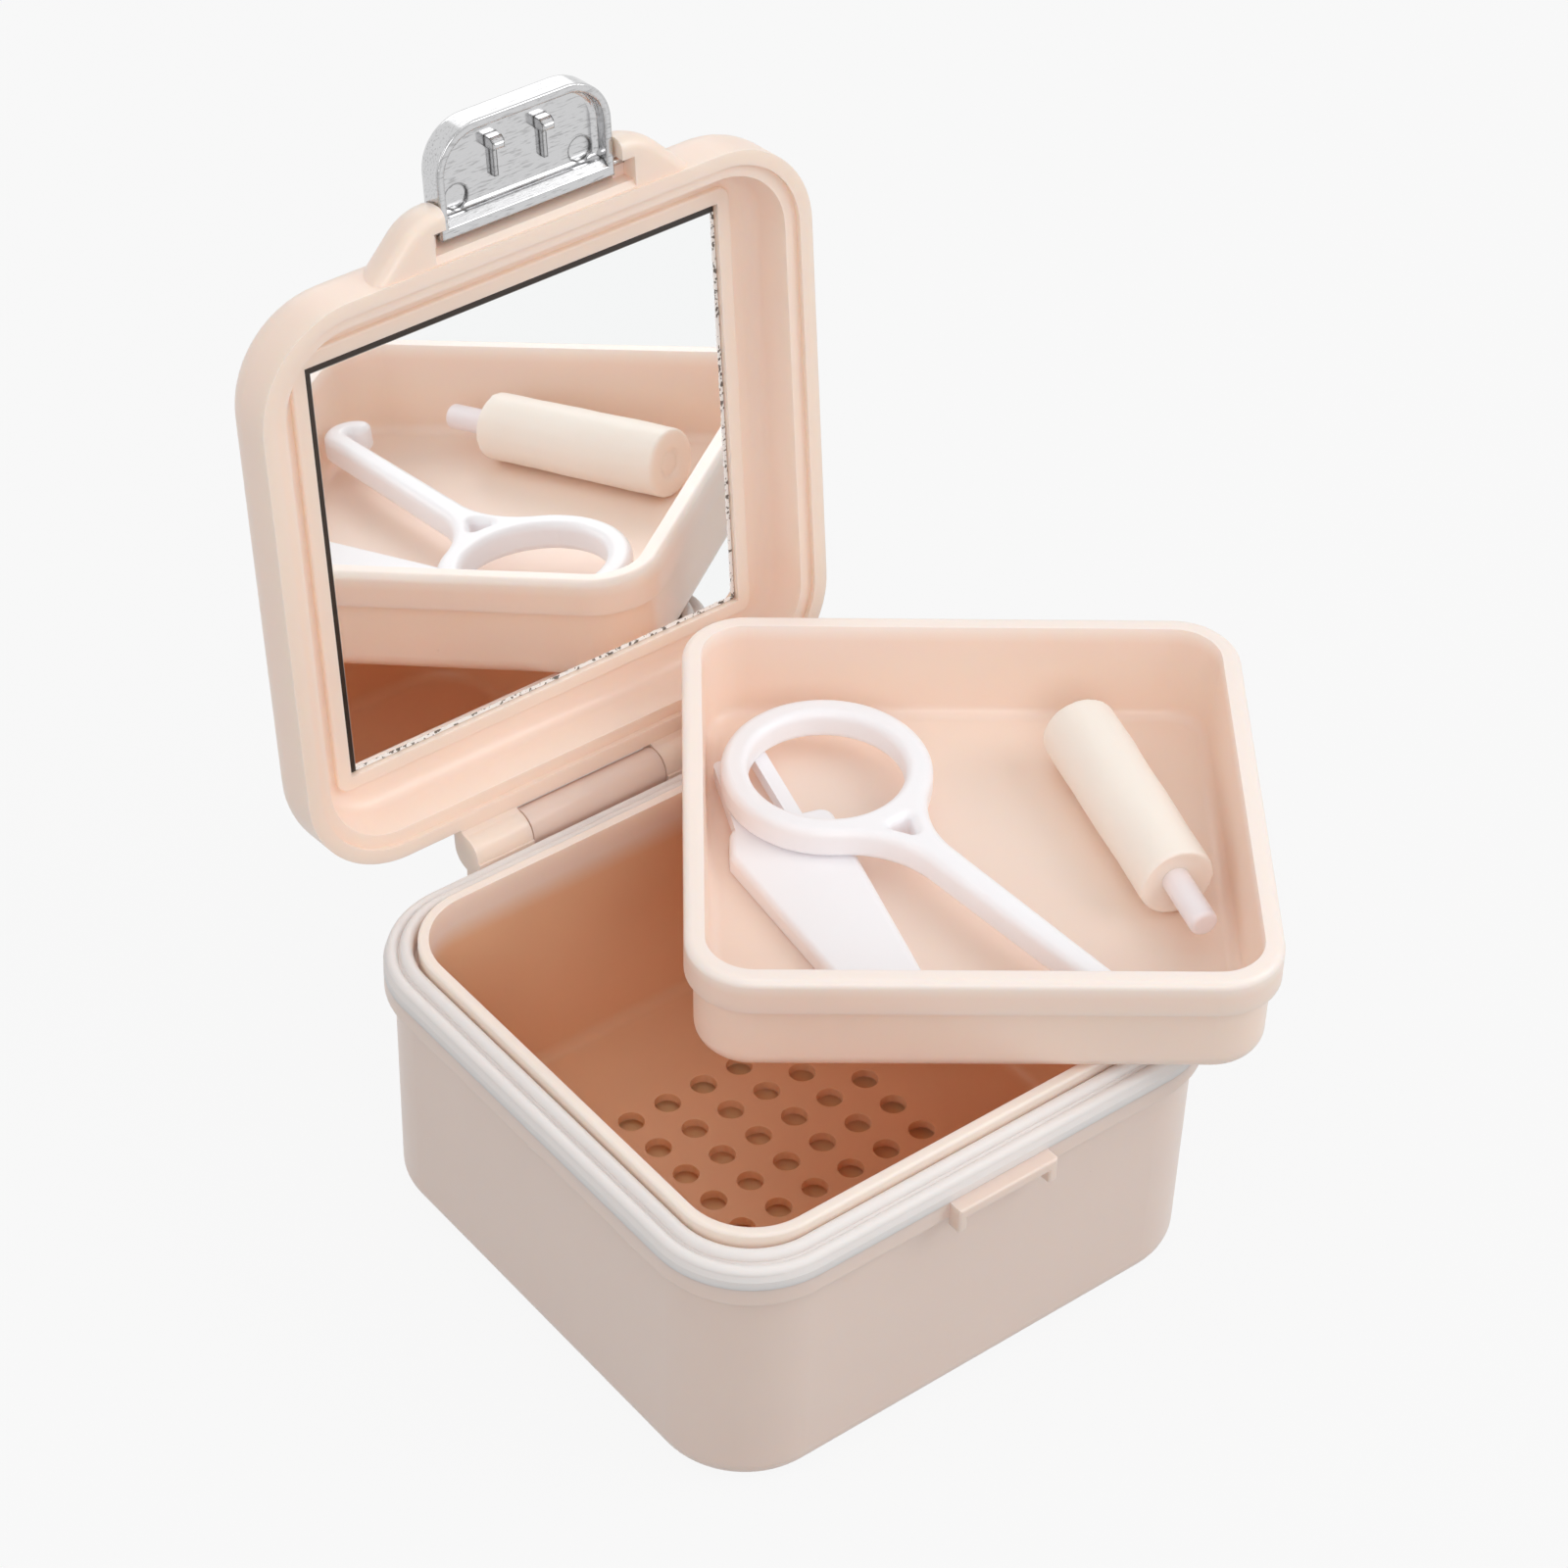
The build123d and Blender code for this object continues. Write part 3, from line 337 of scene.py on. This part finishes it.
def glossy_abs(name, colour):
    """White moulded ABS of the tools: bright, glossy, faint flow marks."""
    material = new_material(name)
    place = add_node(material, "ShaderNodeTexCoord").outputs["Object"]
    flow = add_node(material, "ShaderNodeTexNoise", {
        "Vector": place, "Scale": 1 / FLOW_MARK, "Detail": 2.0})
    gloss = add_node(material, "ShaderNodeMapRange", {
        "Value": flow.outputs["Fac"], "To Min": 0.32, "To Max": 0.42})
    bump = add_node(material, "ShaderNodeBump", {
        "Height": flow.outputs["Fac"], "Strength": 0.02, "Distance": 0.1 * MM})
    shader = add_node(material, "ShaderNodeBsdfPrincipled", {
        "Base Color": (*colour, 1.0),
        "Roughness": gloss.outputs[0],
        "IOR": 1.53,
        "Subsurface Weight": 0.15,
        "Subsurface Radius": (1.0, 0.8, 0.8),
        "Subsurface Scale": 1.2 * MM,
        "Normal": bump.outputs["Normal"]})
    return finish_material(material, shader)


def chrome_plate(name):
    """Chrome plating on moulded plastic: grey and mirror-like, with a painted dark reflection along every
    edge, and short drag marks of its polish that run across the clasp."""
    material = new_material(name)
    place = add_node(material, "ShaderNodeTexCoord").outputs["Object"]
    stretched = add_node(material, "ShaderNodeMapping", {"Vector": place, "Scale": (
        1 / DRAG_LENGTH, 1 / DRAG_WIDTH, 1 / DRAG_WIDTH)})
    drag = add_node(material, "ShaderNodeTexNoise", {
        "Vector": stretched.outputs["Vector"], "Scale": 1.0, "Detail": 3.0})
    marks = add_node(material, "ShaderNodeMapRange", {
        "Value": drag.outputs["Fac"], "From Min": 0.54, "From Max": 0.68, "To Max": 0.3})
    # painted reflection: dark along every edge, as if the rounded edges mirrored dark surroundings
    rounded = add_node(material, "ShaderNodeBevel", {"Radius": PAINTED_REFLECTION_EDGE})
    facing = add_node(material, "ShaderNodeNewGeometry").outputs["Normal"]
    turned = add_node(material, "ShaderNodeVectorMath", {0: rounded.outputs[0], 1: facing},
                      operation="DOT_PRODUCT")
    edges = add_node(material, "ShaderNodeMapRange", {
        "Value": turned.outputs["Value"], "From Min": 0.86, "From Max": 0.96,
        "To Min": 1.0, "To Max": 0.0})
    marks_and_painted_edges = add_node(material, "ShaderNodeMath", {0: marks.outputs[0], 1: edges.outputs[0]},
                      operation="MAXIMUM")
    colour = add_node(material, "ShaderNodeMix", {
        0: marks_and_painted_edges.outputs[0], 6: (*linear(PLATE), 1.0), 7: (*linear(POLISH_MARK_AND_PAINTED_REFLECTION), 1.0)},
        data_type="RGBA")
    gloss = add_node(material, "ShaderNodeMapRange", {
        "Value": drag.outputs["Fac"], "To Min": 0.1, "To Max": 0.24})
    bump = add_node(material, "ShaderNodeBump", {
        "Height": drag.outputs["Fac"], "Strength": 0.08, "Distance": 0.05 * MM})
    shader = add_node(material, "ShaderNodeBsdfPrincipled", {
        "Base Color": colour.outputs[2],
        "Metallic": 1.0,
        "Roughness": gloss.outputs[0],
        "Normal": bump.outputs["Normal"]})
    return finish_material(material, shader)


def silvered_glass(name):
    """Silvered mirror glass: a clean reflection, painted shade in a band along the upper and left edges
    where the glass meets the frame, and ground white and chipped along the other two."""
    material = new_material(name)
    place = add_node(material, "ShaderNodeTexCoord").outputs["Object"]
    across = add_node(material, "ShaderNodeSeparateXYZ", {"Vector": place}).outputs["X"]
    up_lid = add_node(material, "ShaderNodeVectorMath", {
        0: place, 1: (0.0, math.sin(LEAN), math.cos(LEAN))}, operation="DOT_PRODUCT").outputs["Value"]
    width, height = MIRROR_SIZE
    from_left = add_node(material, "ShaderNodeMath", {0: across, 1: width}, operation="ADD")
    from_right = add_node(material, "ShaderNodeMath", {0: width, 1: across}, operation="SUBTRACT")
    from_top = add_node(material, "ShaderNodeMath", {0: MIRROR_MIDDLE + height, 1: up_lid},
                        operation="SUBTRACT")
    from_bottom = add_node(material, "ShaderNodeMath", {0: up_lid, 1: MIRROR_MIDDLE - height},
                           operation="SUBTRACT")
    # painted shade: a band along the left and upper edges, where the glass meets the frame
    dark = add_node(material, "ShaderNodeMath", {
        0: edge_band(material, from_left.outputs[0], PAINTED_SHADE_LEFT),
        1: edge_band(material, from_top.outputs[0], PAINTED_SHADE_TOP)}, operation="MAXIMUM")
    ground = add_node(material, "ShaderNodeMath", {0: from_right.outputs[0], 1: from_bottom.outputs[0]},
                      operation="MINIMUM")
    chips = add_node(material, "ShaderNodeTexNoise", {
        "Vector": place, "Scale": 1 / CHIP_SIZE, "Detail": 2.0})
    ragged = add_node(material, "ShaderNodeMath", {
        0: chips.outputs["Fac"], 1: CHIP_DEPTH, 2: ground.outputs[0]}, operation="MULTIPLY_ADD")
    bright = edge_band(material, ragged.outputs[0], GROUND_EDGE)
    specks = add_node(material, "ShaderNodeMapRange", {
        "Value": chips.outputs["Fac"], "From Min": 0.56, "From Max": 0.6})
    edge = add_node(material, "ShaderNodeMix", {
        0: specks.outputs[0], 6: (*linear(GROUND_GLASS), 1.0), 7: (*linear(GROUND_SPECK), 1.0)},
        data_type="RGBA")
    edged = add_node(material, "ShaderNodeMix", {
        0: bright, 6: (*linear(SILVER), 1.0), 7: edge.outputs[2]}, data_type="RGBA")
    colour = add_node(material, "ShaderNodeMix", {
        0: dark.outputs[0], 6: edged.outputs[2], 7: (*linear(PAINTED_SHADE_GAP), 1.0)}, data_type="RGBA")
    dulled = add_node(material, "ShaderNodeMath", {0: dark.outputs[0], 1: bright}, operation="MAXIMUM")
    gloss = add_node(material, "ShaderNodeMapRange", {
        "Value": dulled.outputs[0], "To Min": 0.015, "To Max": 0.35})
    silver = add_node(material, "ShaderNodeMath", {0: 1.0, 1: dulled.outputs[0]}, operation="SUBTRACT")
    shader = add_node(material, "ShaderNodeBsdfPrincipled", {
        "Base Color": colour.outputs[2],
        "Metallic": silver.outputs[0],
        "Roughness": gloss.outputs[0]})
    return finish_material(material, shader)


def foam_tape(name, colour):
    """Foam tape behind the mirror: dull, with the fine pits of its open cells."""
    material = new_material(name)
    place = add_node(material, "ShaderNodeTexCoord").outputs["Object"]
    cells = add_node(material, "ShaderNodeTexVoronoi", {"Vector": place, "Scale": 1 / FOAM_CELL})
    gloss = add_node(material, "ShaderNodeMapRange", {
        "Value": cells.outputs["Distance"], "To Min": 0.95, "To Max": 0.8})
    bump = add_node(material, "ShaderNodeBump", {
        "Height": cells.outputs["Distance"], "Strength": 0.4, "Distance": 0.2 * MM})
    shader = add_node(material, "ShaderNodeBsdfPrincipled", {
        "Base Color": (*colour, 1.0),
        "Roughness": gloss.outputs[0],
        "IOR": 1.5,
        "Normal": bump.outputs["Normal"]})
    return finish_material(material, shader)


def paint_case(settings):
    """Dresses the four large mouldings."""
    dress("base_shell", moulded_polypropylene("base_polypropylene", settings.base_painted_shade_colour,
                                              settings.roughness, settings.peel_size, scuffs=1.0,
                                              painted_bounce_colour=settings.painted_bounce_colour))
    dress("strainer_basket", moulded_polypropylene("basket_polypropylene", settings.basket_colour,
                                                   settings.roughness + 0.05, settings.peel_size,
                                                   painted_light_lip_colour=settings.basket_painted_light_lip_colour))
    dress("lid_shell", moulded_polypropylene("lid_polypropylene", settings.lid_colour,
                                             settings.roughness, settings.peel_size))
    dress("tool_tray", moulded_polypropylene("tray_polypropylene", settings.tray_colour,
                                             settings.roughness, settings.peel_size,
                                             painted_light_lip_colour=settings.tray_painted_light_lip_colour, lip=TRAY_PAINTED_LIGHT_LIP))


class RETAINER_OT_case(bpy.types.Operator):
    """Finish the base, basket, lid and tray in moulded polypropylene"""
    bl_idname = "retainer.case"
    bl_label = "Case Mouldings"

    def execute(self, context):
        paint_case(context.scene.retainer_plastic)
        return {"FINISHED"}


def select_faces(piece, wanted):
    """Selects, in edit mode's mesh, the faces whose middle and direction pass the test."""
    bpy.ops.object.mode_set(mode="OBJECT")
    for face in piece.data.polygons:
        face.select = wanted(face)
    bpy.ops.object.mode_set(mode="EDIT")


def apply_modifier(piece, kind, **settings):
    """Adds a modifier, sets it up and applies it."""
    modifier = piece.modifiers.new(kind.title(), kind)
    for name, value in settings.items():
        setattr(modifier, name, value)
    bpy.ops.object.modifier_apply(modifier=modifier.name)


def model_roll():
    """Soft chewing roll: a plump tube with a slightly spread far end that has a small ring
    pressed into it, and a dished near end, all a little out of true from use."""
    bpy.ops.object.select_all(action="DESELECT")
    bpy.ops.mesh.primitive_cylinder_add(vertices=64, radius=ROLL_RADIUS, depth=ROLL_LENGTH)
    roll = bpy.context.object
    roll.name = "soft_roll"
    bpy.ops.object.mode_set(mode="EDIT")
    bpy.ops.mesh.select_mode(type="FACE")
    bpy.ops.mesh.select_all(action="SELECT")
    bpy.ops.mesh.bisect(plane_co=(0.0, 0.0, FLARE_LENGTH - ROLL_LENGTH / 2), plane_no=(0.0, 0.0, 1.0))
    select_faces(roll, lambda face: face.normal.z < -0.9)
    bpy.ops.transform.resize(value=(FLARE, FLARE, 1.0), center_override=(0.0, 0.0, -ROLL_LENGTH / 2))
    bpy.ops.mesh.inset(thickness=FAR_RIM)
    bpy.ops.mesh.inset(thickness=FAR_RING)
    bpy.ops.transform.translate(value=(0.0, 0.0, FAR_DIP))
    bpy.ops.mesh.inset(thickness=FAR_RING)
    bpy.ops.transform.translate(value=(0.0, 0.0, -FAR_RISE))
    select_faces(roll, lambda face: face.normal.z > 0.9)
    bpy.ops.mesh.inset(thickness=NEAR_RIM)
    bpy.ops.transform.translate(value=(0.0, 0.0, -NEAR_DIP))
    bpy.ops.mesh.inset(thickness=NEAR_RING)
    bpy.ops.transform.translate(value=(0.0, 0.0, -NEAR_DEEPER))
    bpy.ops.object.mode_set(mode="OBJECT")
    apply_modifier(roll, "BEVEL", width=ROLL_EDGE, segments=4, limit_method="ANGLE",
                   angle_limit=math.radians(20))
    apply_modifier(roll, "REMESH", mode="VOXEL", voxel_size=ROLL_MESH)
    apply_modifier(roll, "SMOOTH", factor=0.5, iterations=6)
    clouds = bpy.data.textures.new("pressed", "CLOUDS")
    clouds.noise_scale = DENT_SIZE
    apply_modifier(roll, "DISPLACE", texture=clouds, texture_coords="LOCAL", strength=DENT_DEPTH,
                   mid_level=0.6)
    bpy.ops.object.shade_smooth()
    low, high = (Vector(corner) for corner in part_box("chewie_roll"))
    roll.matrix_world = (Matrix.Translation((low + high) / 2) @ Matrix.Rotation(ROLL_TURN, 4, "Z")
                         @ Matrix.Rotation(math.pi / 2, 4, "Y"))
    bpy.ops.object.transform_apply(location=True, rotation=True, scale=True)
    return roll


class RETAINER_OT_fittings(bpy.types.Operator):
    """Finish the clasp, pins, mirror and its pad"""
    bl_idname = "retainer.fittings"
    bl_label = "Clasp, Pins and Mirror"

    def execute(self, context):
        chrome = chrome_plate("chrome_plate")
        dress("clasp_cover", chrome)
        dress("hinge_pin", chrome)
        dress("clasp_pin", chrome)
        dress("mirror_glass", silvered_glass("silvered_glass"))
        dress("mirror_pad", foam_tape("foam_tape", linear(FOAM)))
        return {"FINISHED"}


class RETAINER_OT_tools(bpy.types.Operator):
    """Finish the ring tool, the flat tool and the stick, and model the chewing roll"""
    bl_idname = "retainer.tools"
    bl_label = "Tools and Chewing Roll"

    def execute(self, context):
        colours = context.scene.retainer_tools
        white = glossy_abs("white_abs", colours.tool_colour)
        dress("ring_tool", white)
        dress("flat_tool", white)
        dress("chewie_stick", glossy_abs("stick_abs", colours.stick_colour))
        roll = model_roll()
        roll.data.materials.append(translucent_silicone("roll_elastomer", colours.roll_colour))
        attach(roll, "chewie")
        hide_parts("chewie_roll")
        return {"FINISHED"}


class RETAINER_OT_seal(bpy.types.Operator):
    """Finish the silicone seal on the rim"""
    bl_idname = "retainer.seal"
    bl_label = "Rim Seal"

    def execute(self, context):
        colours = context.scene.retainer_tools
        dress("rim_seal", translucent_silicone("seal_silicone", colours.seal_colour))
        return {"FINISHED"}


# Stage

def seen_ray(material):
    """1 for what the camera sees, directly or in a reflection or through glass, and 0 for light
    that reaches the object."""
    rays = add_node(material, "ShaderNodeLightPath")
    seen = add_node(material, "ShaderNodeMath", {
        0: rays.outputs["Is Camera Ray"], 1: rays.outputs["Is Glossy Ray"]}, operation="MAXIMUM")
    return add_node(material, "ShaderNodeMath", {
        0: seen.outputs[0], 1: rays.outputs["Is Transmission Ray"]}, operation="MAXIMUM").outputs[0]


def floor_material():
    """Matt white paper floor that a camera sees nearly white, with the object's soft shadow."""
    material = new_material("paper_floor")
    paper = add_node(material, "ShaderNodeBsdfDiffuse", {
        "Color": (PAPER_GREY, PAPER_GREY, PAPER_GREY, 1.0)})
    glow = add_node(material, "ShaderNodeEmission", {"Color": (1.0, 1.0, 1.0, 1.0), "Strength": 1.0})
    share = add_node(material, "ShaderNodeMath", {0: seen_ray(material), 1: PAPER_GLOW},
                     operation="MULTIPLY")
    blend = add_node(material, "ShaderNodeMixShader", {
        "Fac": share.outputs[0], 1: paper.outputs[0], 2: glow.outputs[0]})
    return finish_material(material, blend)


def white_world(level):
    """Pale surround: the backdrop's brightness to the camera and in reflections, and the given
    level as light."""
    world = bpy.data.worlds.new("white_surround")
    world.use_nodes = True
    world.node_tree.nodes.clear()
    strength = add_node(world, "ShaderNodeMapRange", {
        "Value": seen_ray(world), "To Min": level, "To Max": BACKDROP})
    sky = add_node(world, "ShaderNodeBackground", {
        "Color": (1.0, 1.0, 1.0, 1.0), "Strength": strength.outputs[0]})
    add_node(world, "ShaderNodeOutputWorld", {"Surface": sky.outputs[0]})
    bpy.context.scene.world = world


def add_lamp(name, place, size, power):
    """Square soft lamp, aimed at the middle of the object."""
    bpy.ops.object.light_add(type="AREA", location=place)
    lamp = bpy.context.object
    lamp.name = name
    lamp.data.size = size
    lamp.data.energy = power
    beam = Vector(AIM) - Vector(place)
    lamp.rotation_euler = beam.to_track_quat("-Z", "Y").to_euler()


def add_camera(settings):
    """Camera at the photograph's viewing angle."""
    bpy.ops.object.camera_add()
    camera = bpy.context.object
    camera.name = "photo_camera"
    camera.data.lens = settings.lens
    camera.data.sensor_width = SENSOR_WIDTH
    turn = (Matrix.Rotation(settings.azimuth, 4, "Z")
            @ Matrix.Rotation(math.pi / 2 - settings.elevation, 4, "X")
            @ Matrix.Rotation(settings.roll, 4, "Z"))
    camera.matrix_world = Matrix.Translation(CAMERA_PLACE) @ turn
    bpy.context.scene.camera = camera


class RETAINER_OT_stage(bpy.types.Operator):
    """Set up the floor, the white surround, the lamps and the camera"""
    bl_idname = "retainer.stage"
    bl_label = "Studio"

    def execute(self, context):
        settings = context.scene.retainer_studio
        bpy.ops.mesh.primitive_plane_add(size=FLOOR_SIZE)
        floor = context.object
        floor.name = "studio_floor"
        floor.data.materials.append(floor_material())
        white_world(settings.world_level)
        for name, (place, size) in LAMPS.items():
            add_lamp(f"{name}_lamp", place, size, getattr(settings, f"{name}_power"))
        add_camera(settings)
        context.scene.view_settings.view_transform = "Standard"
        context.scene.cycles.diffuse_bounces = BOUNCES
        return {"FINISHED"}


class RETAINER_PT_sidebar(bpy.types.Panel):
    """Retainer case"""
    bl_label = "Retainer Case"
    bl_idname = "RETAINER_PT_sidebar"
    bl_space_type = "VIEW_3D"
    bl_region_type = "UI"
    bl_category = "Retainer Case"

    def draw(self, context):
        scene = context.scene
        for settings in (scene.retainer_plastic, scene.retainer_tools, scene.retainer_studio):
            box = self.layout.box()
            for name in settings.__annotations__:
                box.prop(settings, name)
        for operator in OPERATORS:
            self.layout.operator(operator.bl_idname)


SETTINGS = {
    "retainer_plastic": MouldedPlastic,
    "retainer_tools": WhiteTools,
    "retainer_studio": StudioSettings,
}
OPERATORS = (RETAINER_OT_case, RETAINER_OT_fittings, RETAINER_OT_tools, RETAINER_OT_seal,
             RETAINER_OT_stage)


def register():
    for cls in (*SETTINGS.values(), *OPERATORS, RETAINER_PT_sidebar):
        bpy.utils.register_class(cls)
    for name, group in SETTINGS.items():
        setattr(bpy.types.Scene, name, PointerProperty(type=group))


def unregister():
    for name in SETTINGS:
        delattr(bpy.types.Scene, name)
    for cls in (RETAINER_PT_sidebar, *reversed(OPERATORS), *reversed(SETTINGS.values())):
        bpy.utils.unregister_class(cls)


def main():
    """Builds the whole scene."""
    register()
    bpy.ops.retainer.case()
    bpy.ops.retainer.fittings()
    bpy.ops.retainer.seal()
    bpy.ops.retainer.tools()
    bpy.ops.retainer.stage()


if __name__ == "__main__":
    main()
